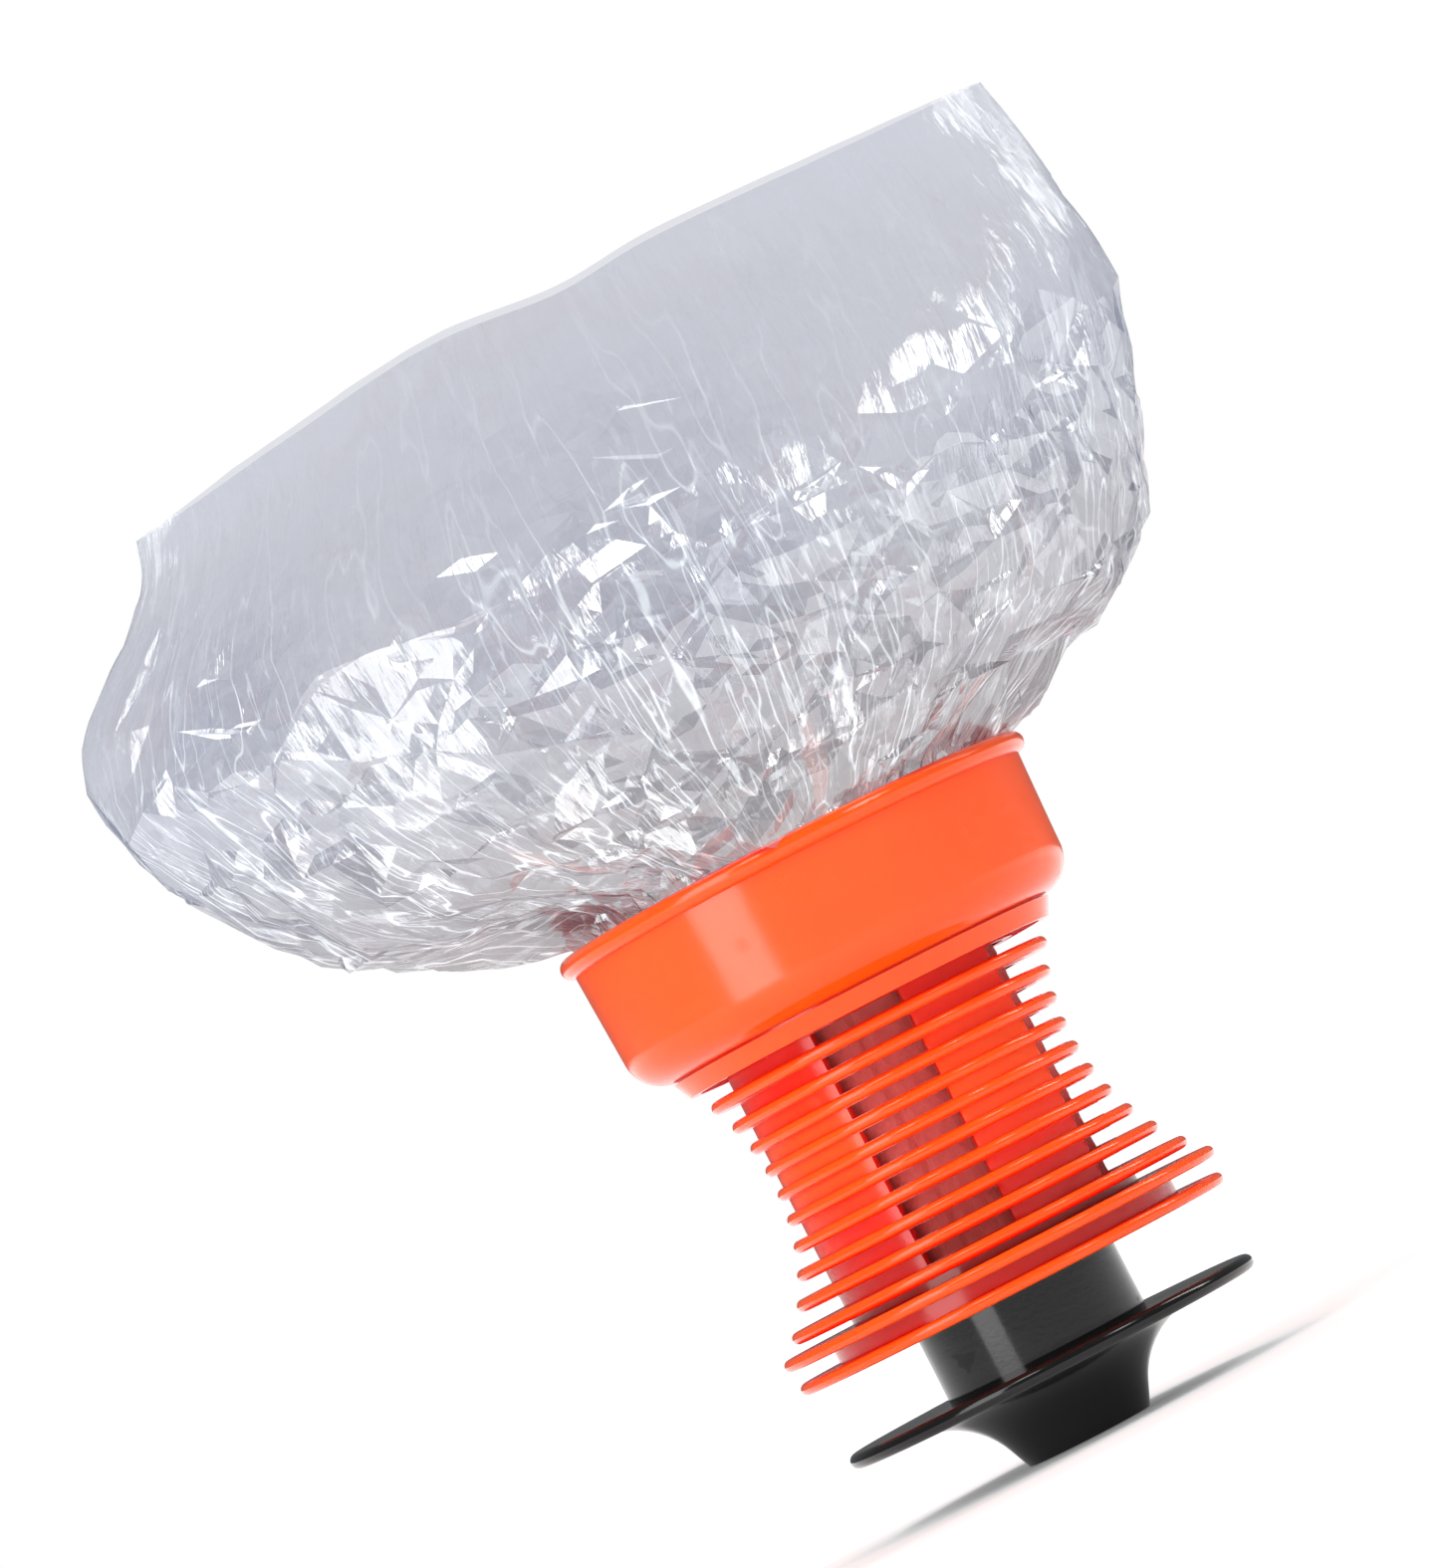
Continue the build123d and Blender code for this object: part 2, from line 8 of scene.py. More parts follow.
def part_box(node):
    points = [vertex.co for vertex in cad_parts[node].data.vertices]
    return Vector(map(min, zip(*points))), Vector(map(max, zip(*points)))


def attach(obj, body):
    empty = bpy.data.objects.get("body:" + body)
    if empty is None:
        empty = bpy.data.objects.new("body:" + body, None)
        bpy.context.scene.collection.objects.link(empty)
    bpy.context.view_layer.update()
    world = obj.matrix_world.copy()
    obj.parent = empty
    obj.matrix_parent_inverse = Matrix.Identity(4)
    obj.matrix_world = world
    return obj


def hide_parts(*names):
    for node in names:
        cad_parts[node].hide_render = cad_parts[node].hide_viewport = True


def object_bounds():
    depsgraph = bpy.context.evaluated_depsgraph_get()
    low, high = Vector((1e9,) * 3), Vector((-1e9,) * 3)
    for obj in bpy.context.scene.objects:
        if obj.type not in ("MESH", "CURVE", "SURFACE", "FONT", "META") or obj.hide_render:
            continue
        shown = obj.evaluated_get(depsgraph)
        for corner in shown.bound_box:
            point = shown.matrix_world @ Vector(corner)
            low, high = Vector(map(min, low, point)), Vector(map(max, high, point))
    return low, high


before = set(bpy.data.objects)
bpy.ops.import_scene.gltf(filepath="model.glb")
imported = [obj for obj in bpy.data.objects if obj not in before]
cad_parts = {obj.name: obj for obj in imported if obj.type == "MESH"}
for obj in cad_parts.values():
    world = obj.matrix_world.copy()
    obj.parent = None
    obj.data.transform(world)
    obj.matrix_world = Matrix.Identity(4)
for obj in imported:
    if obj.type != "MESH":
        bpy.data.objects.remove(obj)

cad_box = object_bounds()
mm = 0.001


# ---------------------------------------------------------------- outlet horn
# The black horn with its shield disc is one moulding in high-gloss filled plastic. It slides and turns in the
# foot, so its tube has faint rubbing marks round it, and its disc a few handling scratches.
class Tone:
    """The output of a shader node. Arithmetic on it adds Math nodes."""

    def __init__(self, socket):
        self.socket = socket

    def math(self, operation, *values):
        return Finish.add_to(self.socket.id_data, "Math", {"operation": operation}, dict(enumerate((self, *values))))

    def __add__(self, other):
        return self.math("ADD", other)

    def __mul__(self, other):
        return self.math("MULTIPLY", other)

    def __sub__(self, other):
        return self.math("SUBTRACT", other)

    def __rsub__(self, other):
        return Finish.add_to(self.socket.id_data, "Math", {"operation": "SUBTRACT"}, {0: other, 1: self})

    def __pow__(self, other):
        return self.math("POWER", other)

    __radd__ = __add__
    __rmul__ = __mul__

    def kept_in(self, low=0.0, high=1.0):
        return self.math("MAXIMUM", low).math("MINIMUM", high)


class Finish:
    """One material, built up node by node."""

    def __init__(self, name):
        self.material = bpy.data.materials.new(name)
        self.material.use_nodes = True
        self.tree = self.material.node_tree
        self.tree.nodes.clear()
        self.place = self.node("TexCoord", {}, {}, "Object")

    @staticmethod
    def add_to(tree, kind, settings, sockets, output=0):
        node = tree.nodes.new("ShaderNode" + kind)
        for name, value in settings.items():
            if name == "stops":
                ramp = node.color_ramp.elements
                while len(ramp) < len(value):
                    ramp.new(0.5)
                for stop, (at, colour) in zip(ramp, value):
                    stop.position, stop.color = at, colour
            else:
                setattr(node, name, value)
        for name, value in sockets.items():
            if isinstance(value, Tone):
                tree.links.new(value.socket, node.inputs[name])
            else:
                node.inputs[name].default_value = value
        return Tone(node.outputs[output])

    def node(self, kind, settings, sockets, output=0):
        return self.add_to(self.tree, kind, settings, sockets, output)

    def noise(self, scale, detail=3.0, roughness=0.55, along=None, output="Fac"):
        """A noise value. along stretches it, as three scales on the place."""
        place = self.place
        if along:
            place = self.node("VectorMath", {"operation": "MULTIPLY"}, {0: place, 1: along})
        return self.node("TexNoise", {}, {"Vector": place, "Scale": scale, "Detail": detail,
                                          "Roughness": roughness}, output)

    def between(self, value, low, high):
        """0 below low, 1 above high and smooth between them."""
        return self.node("MapRange", {"interpolation_type": "SMOOTHSTEP"},
                         {"Value": value, "From Min": low, "From Max": high})

    def blend(self, factor, first, second):
        return self.node("Mix", {"data_type": "RGBA"}, {0: factor, 6: first, 7: second}, 2)

    def bump(self, height, depth, over=None):
        sockets = {"Height": height, "Strength": 1.0, "Distance": depth}
        if over:
            sockets["Normal"] = over
        return self.node("Bump", {}, sockets)

    def plastic(self, colour, roughness, normal, **fixed):
        """The shader itself. colour, roughness and normal may vary; what is in fixed is the same all over."""
        sockets = {"Base Color": colour, "Roughness": roughness, "Normal": normal}
        sockets.update((name.replace("_", " "), value) for name, value in fixed.items())
        return self.node("BsdfPrincipled", {}, sockets)

    def done(self, surface):
        out = self.tree.nodes.new("ShaderNodeOutputMaterial")
        self.tree.links.new(surface.socket, out.inputs["Surface"])
        return self.material


def wear(node, *materials):
    """Puts the materials in a CAD node's slots, over the plain one that it came with."""
    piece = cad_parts[node]
    piece.data.materials.clear()
    for material in materials:
        piece.data.materials.append(material)


gloss_black = Finish("gloss_black")
black_cloud = gloss_black.noise(38.0, 4.0)
black_rub = gloss_black.noise(55.0, 5.0, 0.6, along=(1.0, 1.0, 22.0))
black_hair = gloss_black.between(gloss_black.noise(170.0, 2.0, 0.5, along=(0.12, 1.0, 1.0)), 0.66, 0.70)
black_grain = gloss_black.bump(gloss_black.noise(900.0, 2.0), 0.000008)
gloss_black_material = gloss_black.done(gloss_black.plastic(
    gloss_black.blend(black_cloud, (0.004, 0.004, 0.0045, 1), (0.009, 0.0088, 0.0092, 1)),
    (0.09 + 0.07 * black_rub + 0.10 * black_hair).kept_in(),
    gloss_black.bump(gloss_black.noise(75.0, 1.0), 0.00001, black_grain),
    IOR=1.5, Specular_IOR_Level=0.4))
wear("outlet_horn", gloss_black_material)


# ---------------------------------------------------------------- stop ring and seal in the foot
# A snap ring of spring steel keeps the horn from being pulled out, and a ring of black rubber in the foot's
# collar grips its tube. Both sit inside the foot.
bright_steel = Finish("bright_steel")
steel_lines = bright_steel.noise(260.0, 3.0, 0.6, along=(1.0, 1.0, 9.0))
steel_haze = bright_steel.noise(60.0, 4.0)
bright_steel_material = bright_steel.done(bright_steel.plastic(
    bright_steel.blend(steel_haze, (0.50, 0.51, 0.52, 1), (0.66, 0.66, 0.65, 1)),
    (0.18 + 0.22 * steel_lines).kept_in(), bright_steel.bump(steel_lines, 0.00002), Metallic=1.0))
wear("horn_stop_ring", bright_steel_material)

black_rubber = Finish("black_rubber")
rubber_dust = black_rubber.noise(140.0, 5.0, 0.65)
black_rubber_material = black_rubber.done(black_rubber.plastic(
    black_rubber.blend(rubber_dust, (0.011, 0.011, 0.011, 1), (0.035, 0.034, 0.033, 1)),
    (0.55 + 0.25 * rubber_dust).kept_in(), black_rubber.bump(black_rubber.noise(700.0, 3.0), 0.00005)))
wear("horn_seal", black_rubber_material)


# ---------------------------------------------------------------- foot, finned cage and storage cup
# Three mouldings in one glossy signal-orange plastic. Between the fins the colour is painted deep red, as a
# painted shade for the light bouncing there; the surface has a faint orange-peel from the mould, and hands have
# dulled it in places.
signal_orange = Finish("signal_orange")
orange_cloud = signal_orange.noise(24.0, 4.0)
orange_flow = signal_orange.noise(30.0, 3.0, 0.5, along=(1.0, 1.0, 0.18))
orange_touch = signal_orange.between(signal_orange.noise(19.0, 5.0, 0.6), 0.46, 0.68)
orange_hair = signal_orange.between(signal_orange.noise(150.0, 2.0, 0.5, along=(1.0, 0.12, 0.9)), 0.68, 0.71)
orange_peel = signal_orange.bump(signal_orange.noise(420.0, 2.0), 0.000025)
# Painted shade: where the ambient-occlusion value is low, in the hollows between the fins, the colour is painted deep
# red.
openness_for_painted_shade = signal_orange.node("AmbientOcclusion", {"samples": 4}, {"Distance": 0.009}, "AO")
orange_skin = signal_orange.blend(orange_cloud * 0.6 + orange_flow * 0.4,
                                  (0.93, 0.070, 0.003, 1), (0.98, 0.105, 0.006, 1))
signal_orange_material = signal_orange.done(signal_orange.plastic(
    signal_orange.blend(signal_orange.between(openness_for_painted_shade, 0.30, 0.78), (0.95, 0.008, 0.001, 1), orange_skin),
    (0.14 + 0.06 * orange_touch + 0.10 * orange_hair + 0.04 * orange_flow).kept_in(),
    signal_orange.bump(signal_orange.noise(60.0, 1.0), 0.00004, orange_peel),
    IOR=1.46, Subsurface_Weight=0.35, Subsurface_Radius=(1.0, 0.10, 0.03), Subsurface_Scale=0.003))
wear("base_cap", signal_orange_material)
wear("finned_cage", signal_orange_material)
wear("storage_cup", signal_orange_material)


# ---------------------------------------------------------------- felt sleeve
# A strip of thick needled felt is rolled once round the filter cartridge inside the cage, with its two ends
# butted together at the front. It catches soot before the carbon, and shows through the cage's windows.
felt_low, felt_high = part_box("felt_sleeve")
felt_outer = felt_high.x
felt_inner = felt_outer - 2.1 * mm
felt_butt = math.radians(-99.0)
felt_random = np.random.default_rng(11)
felt_round, felt_up = 300, 78
felt_turn = np.linspace(0.0, 2 * math.pi, felt_round, endpoint=False)
felt_rise = np.linspace(0.0, 1.0, felt_up)


def rolled_waves(random, turn, rise, count, most_round, most_up):
    """A sum of random waves on a tube that closes on itself, about 1 high."""
    height = np.zeros((len(rise), len(turn)))
    for _ in range(count):
        round_, up = random.integers(1, most_round), random.uniform(-most_up, most_up)
        height += np.cos(round_ * turn[None, :] + 2 * math.pi * up * rise[:, None] + random.uniform(0, 6.28))
    return height / math.sqrt(count)


def tube_skin(name, rings, closed_ends=()):
    """A mesh of rings of points, each ring joined to the next. Each pair in closed_ends joins two rings too."""
    count, around = rings.shape[:2]
    first = np.arange(around)
    second = np.roll(first, -1)
    pairs = [(k, k + 1) for k in range(count - 1)] + list(closed_ends)
    faces = np.concatenate([np.stack((first + a * around, second + a * around, second + b * around,
                                      first + b * around), 1) for a, b in pairs])
    mesh = bpy.data.meshes.new(name)
    mesh.from_pydata(rings.reshape(-1, 3).tolist(), [], faces.tolist())
    mesh.shade_smooth()
    piece = bpy.data.objects.new(name, mesh)
    bpy.context.scene.collection.objects.link(piece)
    return piece


felt_wave = rolled_waves(felt_random, felt_turn, felt_rise, 60, 60, 16) * 0.10 * mm
felt_wave += felt_random.normal(0.0, 0.05 * mm, felt_wave.shape)
from_butt = np.angle(np.exp(1j * (felt_turn - felt_butt)))
felt_wave -= 0.7 * mm * np.exp(-(from_butt / 0.028) ** 2)[None, :]
felt_edge = 0.35 * mm * (np.exp(-felt_rise / 0.012) + np.exp(-(1 - felt_rise) / 0.012))[:, None]
felt_face = felt_outer + felt_wave - felt_edge
felt_back = np.full(felt_face.shape, felt_inner + 0.06 * mm)
felt_radius = np.concatenate((felt_face, felt_back[::-1]))
felt_height = felt_low.z + (felt_high.z - felt_low.z) * np.concatenate((felt_rise, felt_rise[::-1]))
felt_points = np.stack((felt_radius * np.cos(felt_turn), felt_radius * np.sin(felt_turn),
                        np.repeat(felt_height[:, None], felt_round, 1)), 2)
felt_wrap = tube_skin("felt_wrap", felt_points, [(2 * felt_up - 1, 0)])

pressed_felt = Finish("pressed_felt")
felt_hairs = pressed_felt.noise(420.0, 6.0, 0.75, along=(1.0, 1.0, 0.35))
felt_tufts = pressed_felt.noise(120.0, 5.0, 0.7)
felt_soot = pressed_felt.between(pressed_felt.noise(45.0, 4.0), 0.35, 0.75)
# Painted bounce light: the felt is coloured pinkish red, soot patches included, to stand in for light bounced onto it
# from the orange cage.
felt_painted_bounce_red = pressed_felt.blend(felt_hairs, (0.86, 0.10, 0.08, 1), (1.0, 0.30, 0.27, 1))
pressed_felt_material = pressed_felt.done(pressed_felt.plastic(
    pressed_felt.blend(0.35 * felt_soot, felt_painted_bounce_red, (0.62, 0.06, 0.05, 1)), 0.95,
    pressed_felt.bump(felt_hairs, 0.0004, pressed_felt.bump(felt_tufts, 0.0005)),
    Sheen_Weight=0.35, Sheen_Roughness=0.5))
felt_wrap.data.materials.append(pressed_felt_material)
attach(felt_wrap, "grip")
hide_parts("felt_sleeve")


# ---------------------------------------------------------------- filter cartridge
# Three perforated steel screens between two white end plates hold a ring of carbon granules and a ring of
# paler catalyst granules. A rubber gasket seals the top plate against the cage.
moulded_white = Finish("moulded_white")
white_cloud = moulded_white.noise(50.0, 4.0)
moulded_white_material = moulded_white.done(moulded_white.plastic(
    moulded_white.blend(white_cloud, (0.70, 0.70, 0.68, 1), (0.80, 0.80, 0.79, 1)),
    (0.34 + 0.16 * white_cloud).kept_in(), moulded_white.bump(moulded_white.noise(500.0, 3.0), 0.00003)))
for plate in ("cartridge_bottom_plate", "cartridge_top_plate"):
    wear(plate, moulded_white_material)
for screen in ("outer_screen", "middle_screen", "inner_screen"):
    wear(screen, bright_steel_material)
wear("top_gasket", black_rubber_material)


def granules(name, dark, light, size, roughness):
    """Loose grains pressed into a ring: cells of two tones with deep joints between them."""
    finish = Finish(name)
    cell = finish.node("TexVoronoi", {"feature": "F1"}, {"Vector": finish.place, "Scale": 1 / size}, "Distance")
    shade = finish.node("TexVoronoi", {"feature": "F1"}, {"Vector": finish.place, "Scale": 1 / size}, "Color")
    bright = finish.node("SeparateColor", {}, {0: shade}, 0)
    return finish.done(finish.plastic(finish.blend(bright, dark, light), (roughness + 0.1 * bright).kept_in(),
                                      finish.bump(1 - cell, 0.4 * size)))


wear("carbon_bed", granules("carbon_grains", (0.004, 0.004, 0.004, 1), (0.03, 0.03, 0.032, 1), 0.0016, 0.55))
wear("catalyst_bed", granules("catalyst_grains", (0.10, 0.06, 0.035, 1), (0.28, 0.19, 0.11, 1), 0.0014, 0.7))


# ---------------------------------------------------------------- valves and breathing parts
# White mouldings carry the exhaust tube, the two valves and their guards. The valve discs and the bite piece
# are soft translucent silicone.
for moulding in ("exhaust_tube", "exhale_valve_seat", "exhale_valve_guard", "valve_plate", "inhale_valve_guard"):
    wear(moulding, moulded_white_material)

soft_silicone = Finish("soft_silicone")
silicone_cloud = soft_silicone.noise(90.0, 4.0)
soft_silicone_material = soft_silicone.done(soft_silicone.plastic(
    soft_silicone.blend(silicone_cloud, (0.55, 0.56, 0.56, 1), (0.72, 0.73, 0.72, 1)),
    (0.30 + 0.20 * silicone_cloud).kept_in(), soft_silicone.bump(soft_silicone.noise(600.0, 3.0), 0.00003),
    Sheen_Weight=0.15))
for moulding in ("inhale_valve_disc", "exhale_valve_disc", "mouthpiece"):
    wear(moulding, soft_silicone_material)


# ---------------------------------------------------------------- clamp ring and screws
# A flat white ring presses the film's lower edge on the valve plate's rim. Six cross-slotted steel screws hold
# it down.
wear("hood_clamp_ring", moulded_white_material)
wear("clamp_screws", bright_steel_material)


# ---------------------------------------------------------------- film hood
# A bag of thin clear film, cut about 0.53 m round and 0.2 m long, is gathered under the clamp ring and pulled up
# out of the cup. It is wide and flat towards its neck opening, creased all over, and pleated where the cup
# draws it in.
cup_low, cup_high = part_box("storage_cup")
hood_low, hood_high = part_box("hood_front_panel")
ring_low, ring_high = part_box("hood_clamp_ring")
rim_height = cup_high.z - 2.0 * mm
cup_floor = ring_low.z - 1.2 * mm
cup_bore = cup_high.x - 5.1 * mm
hood_rise = hood_high.z - rim_height
hood_left, hood_right, hood_deep = -hood_low.x, hood_high.x, -hood_low.y

# Height above the rim, reach to the left and to the right, and half depth, as shares of the hood's own sizes.
hood_shape = [
    (0.045, 0.470, 0.530, 0.850), (0.085, 0.545, 0.620, 0.900), (0.125, 0.660, 0.745, 0.940),
    (0.190, 0.765, 0.860, 0.970), (0.270, 0.850, 0.925, 1.000), (0.360, 0.925, 0.950, 1.000),
    (0.460, 0.965, 0.962, 0.970), (0.560, 0.995, 0.985, 0.890), (0.680, 0.970, 1.000, 0.720),
    (0.780, 0.885, 0.992, 0.530), (0.860, 0.800, 0.985, 0.350), (0.930, 0.745, 0.975, 0.220),
    (1.000, 0.725, 0.960, 0.110),
]
inside_cup = [
    (cup_floor + 0.4 * mm, ring_high.x + 1.6 * mm), (cup_floor + 3.0 * mm, ring_high.x + 5.0 * mm),
    (cup_floor + 8.0 * mm, cup_bore - 2.6 * mm), (cup_floor + 18.0 * mm, cup_bore - 2.4 * mm),
    (rim_height - 1.0 * mm, cup_bore - 2.0 * mm), (rim_height + 2.6 * mm, cup_bore + 0.8 * mm),
]


def smooth_through(knots, values, at):
    """A curve through the values at the knots, without overshoot."""
    knots, values = np.asarray(knots, float), np.asarray(values, float)
    step = np.diff(knots)
    lean = np.diff(values) / step
    slope = np.zeros(len(knots))
    slope[0], slope[-1] = lean[0], lean[-1]
    same = lean[:-1] * lean[1:] > 0
    slope[1:-1] = np.where(same, 2 * lean[:-1] * lean[1:] / np.where(same, lean[:-1] + lean[1:], 1.0), 0.0)
    k = np.clip(np.searchsorted(knots, at) - 1, 0, len(knots) - 2)
    t = (at - knots[k]) / step[k]
    return ((1 + 2 * t) * (1 - t) ** 2 * values[k] + t * (1 - t) ** 2 * step[k] * slope[k]
            + t * t * (3 - 2 * t) * values[k + 1] + t * t * (t - 1) * step[k] * slope[k + 1])


stations = [(z, r, r, r) for z, r in inside_cup]
stations += [(rim_height + h * hood_rise, a * hood_left, b * hood_right, c * hood_deep) for h, a, b, c in hood_shape]
stations = np.array(stations)
along_film = np.concatenate(([0.0], np.cumsum(np.hypot(
    np.diff(stations[:, 0]), np.diff(stations[:, 1:].mean(1))))))
along_film /= along_film[-1]
film_random = np.random.default_rng(2024)
film_length, film_tall = 0.53, 0.20

# The neck opening's edge isn't level: it dips at both ends and waves a little between them.
lip_at = np.array([-0.80, -0.74, -0.45, -0.13, 0.09, 0.25, 0.62, 0.86, 0.97]) * hood_left
lip_drop = np.array([7.5, 7.0, 2.2, -1.6, 0.6, -0.6, 1.0, 2.4, 6.0]) * mm


def on_film(spots):
    """Where points of the flat film, given as shares of its round and of its height, lie on the smooth hood."""
    turn = 2 * math.pi * spots[:, 0]
    level, left, right, deep = (smooth_through(along_film, stations[:, k], spots[:, 1]) for k in range(4))
    across = np.where(np.cos(turn) > 0, right, left) * np.cos(turn)
    drop = smooth_through(lip_at, lip_drop, np.clip(across, lip_at[0], lip_at[-1]))
    up = np.clip((level - rim_height) / hood_rise, 0.0, 1.0)
    return np.stack((across, deep * np.sin(turn), level - drop * up ** 3), 1)


def outward(spots):
    """The hood's outward direction at those points."""
    nudge = 1e-4
    ahead_, up = np.array((nudge, 0.0)), np.array((0.0, nudge))
    round_ = on_film(spots + ahead_) - on_film(spots - ahead_)
    rise = on_film(np.clip(spots + up, None, (9, 1))) - on_film(np.clip(spots - up, (-9, 0), None))
    normal = np.cross(round_, rise)
    return normal / np.maximum(np.linalg.norm(normal, axis=1, keepdims=True), 1e-15)


def unrest_at(spots):
    """How crumpled the film is at those points: 0 for calm, 1 for crushed."""
    places = on_film(spots)
    east, up = places[:, 0] / hood_left, (places[:, 2] - rim_height) / hood_rise

    def near(centre, reach):
        return np.exp(-((east - centre[0]) / reach[0]) ** 2 - ((up - centre[1]) / reach[1]) ** 2)

    return np.clip(0.06 + 0.80 * np.clip(1.2 - up / 0.52, 0, 1) + 0.95 * near((-0.74, 0.50), (0.20, 0.26))
                   + 0.85 * near((0.80, 0.36), (0.20, 0.28)) + 0.75 * near((-0.02, 0.46), (0.42, 0.30)), 0, 1)


def triangles_of(spots):
    """Joins points of the flat film, whose two ends meet, into triangles of point numbers."""
    low_, high_ = np.flatnonzero(spots[:, 0] < 0.15), np.flatnonzero(spots[:, 0] > 0.85)
    numbers = np.concatenate((np.arange(len(spots)), low_, high_))
    wide = np.concatenate((spots, spots[low_] + (1, 0), spots[high_] - (1, 0)))
    scaled = wide * (film_length, film_tall)
    corners, _, found, origins, *_ = delaunay_2d_cdt([Vector(p) for p in scaled], [], [], 0, 1e-9)
    found = np.array(found)
    origins = np.array([o[0] for o in origins])
    middle = wide[origins[found], 0].mean(1)
    return numbers[origins[found[(middle >= 0) & (middle < 1)]]]


def slopes(spacing, stretch, spots):
    """Random heights at random points of the film, straight between them, as a height at each of the spots."""
    rows, columns = max(2, round(film_tall / spacing / stretch)), max(5, round(film_length / spacing))
    grid = np.array([((c + 0.5 * (r % 2)) / columns, r / rows) for r in range(-1, rows + 2) for c in range(columns)])
    grid += film_random.uniform(-0.8, 0.8, grid.shape) / (columns, rows)
    grid[:, 0] %= 1.0
    height = film_random.uniform(-1, 1, len(grid))
    result = np.zeros(len(spots))
    for a, b, c in triangles_of(grid):
        p, q, r = grid[a], grid[b].copy(), grid[c].copy()
        q[0] -= round(q[0] - p[0])
        r[0] -= round(r[0] - p[0])
        area = (q[0] - p[0]) * (r[1] - p[1]) - (q[1] - p[1]) * (r[0] - p[0])
        if abs(area) < 1e-12:
            continue
        u = spots[:, 0] - np.round(spots[:, 0] - (p[0] + q[0] + r[0]) / 3)
        v = spots[:, 1]
        second = ((u - p[0]) * (r[1] - p[1]) - (v - p[1]) * (r[0] - p[0])) / area
        third = ((q[0] - p[0]) * (v - p[1]) - (q[1] - p[1]) * (u - p[0])) / area
        inside = (second >= -1e-9) & (third >= -1e-9) & (second + third <= 1 + 1e-9)
        result[inside] = (height[a] + second * (height[b] - height[a]) + third * (height[c] - height[a]))[inside]
    return result


def scattered(rows, columns, jolt):
    """Points strewn over the flat film on a shaken grid, about one to a cell."""
    row, column = np.divmod(np.arange(rows * columns), columns)
    strewn = np.stack(((column + 0.5 * (row % 2)) / columns, (row + 0.5) / rows), 1)
    strewn += film_random.uniform(-jolt, jolt, strewn.shape) / (columns, rows)
    strewn[:, 0] %= 1.0
    return strewn[(strewn[:, 1] > 0.008) & (strewn[:, 1] < 0.988)]


def kept(strewn, chance):
    return strewn[film_random.random(len(strewn)) < chance]


# The film's corners and bends: big crushed facets drawn out upwards, a belt of long narrow ones up the middle of
# the front and back, small ones round the cup, and even rows where the film is calm.
crushed = scattered(13, 150, 0.7)
crushed = kept(crushed, 1.25 * unrest_at(crushed) - 0.14)
ruffled = scattered(56, 150, 0.6)
ruffled = kept(ruffled, 1.2 - (ruffled[:, 1] - 0.17) / 0.04)
drawn = scattered(8, 170, 0.7)
drawn = kept(drawn, 0.9 * np.abs(np.sin(2 * math.pi * drawn[:, 0])) ** 3 * ((drawn[:, 1] > 0.3) & (drawn[:, 1] < 0.84)))
calm_rows, calm_columns = 36, 96
calm = scattered(calm_rows, calm_columns, 0.0)
calm = kept(calm, 1.15 - 3.2 * unrest_at(calm))
edge = np.arange(2 * calm_columns) / (2 * calm_columns)
spots = np.concatenate((crushed, ruffled, drawn, calm, np.stack((edge, np.zeros(len(edge))), 1),
                        np.stack((edge, np.ones(len(edge))), 1)))
triangles = triangles_of(spots)


def halved(spots, triangles):
    """Each triangle cut in four at the middles of its sides."""
    sides = np.sort(np.concatenate((triangles[:, (0, 1)], triangles[:, (1, 2)], triangles[:, (2, 0)])), axis=1)
    sides, which = np.unique(sides, axis=0, return_inverse=True)
    ends = spots[sides]
    ends[:, 1, 0] -= np.round(ends[:, 1, 0] - ends[:, 0, 0])
    middle = ends.mean(1)
    middle[:, 0] %= 1.0
    one, two, three = which.reshape(3, -1) + len(spots)
    a, b, c = triangles.T
    cut = np.concatenate([np.stack(corners, 1) for corners in
                          ((a, one, three), (one, b, two), (three, two, c), (one, two, three))])
    return np.concatenate((spots, middle)), cut, sides


# Pleats fan out from the cup, each with its own width and depth, and die away up the hood.
def pleats_at(spots):
    turn = 2 * math.pi * spots[:, 0]
    turn = turn + 0.10 * np.sin(3 * turn + 1.0) + 0.06 * np.sin(7 * turn + 0.4) + 0.09 * np.sin(9 * spots[:, 1] + turn)
    total = np.zeros(len(spots))
    for count, share, start in ((17, 0.55, 0.3), (29, 0.5, 2.2), (47, 0.3, 4.1)):
        swell = 0.75 + 0.45 * np.sin(2 * turn * (count % 5 + 1) + 11 * spots[:, 1] + start)
        total += share * swell * (1 - 2 * np.abs(np.sin(0.5 * count * turn + start)))
    return total


def shares_at(spots):
    """How far each point is up the hood, how far down in the cup, at the lip and under the clamp ring."""
    up = (on_film(spots)[:, 2] - rim_height) / hood_rise
    in_cup = np.clip((4 * mm - up * hood_rise) / (10 * mm), 0, 1)
    return up, in_cup, np.clip((up - 0.80) / 0.2, 0, 1), np.clip(1 - spots[:, 1] / 0.03, 0, 1)


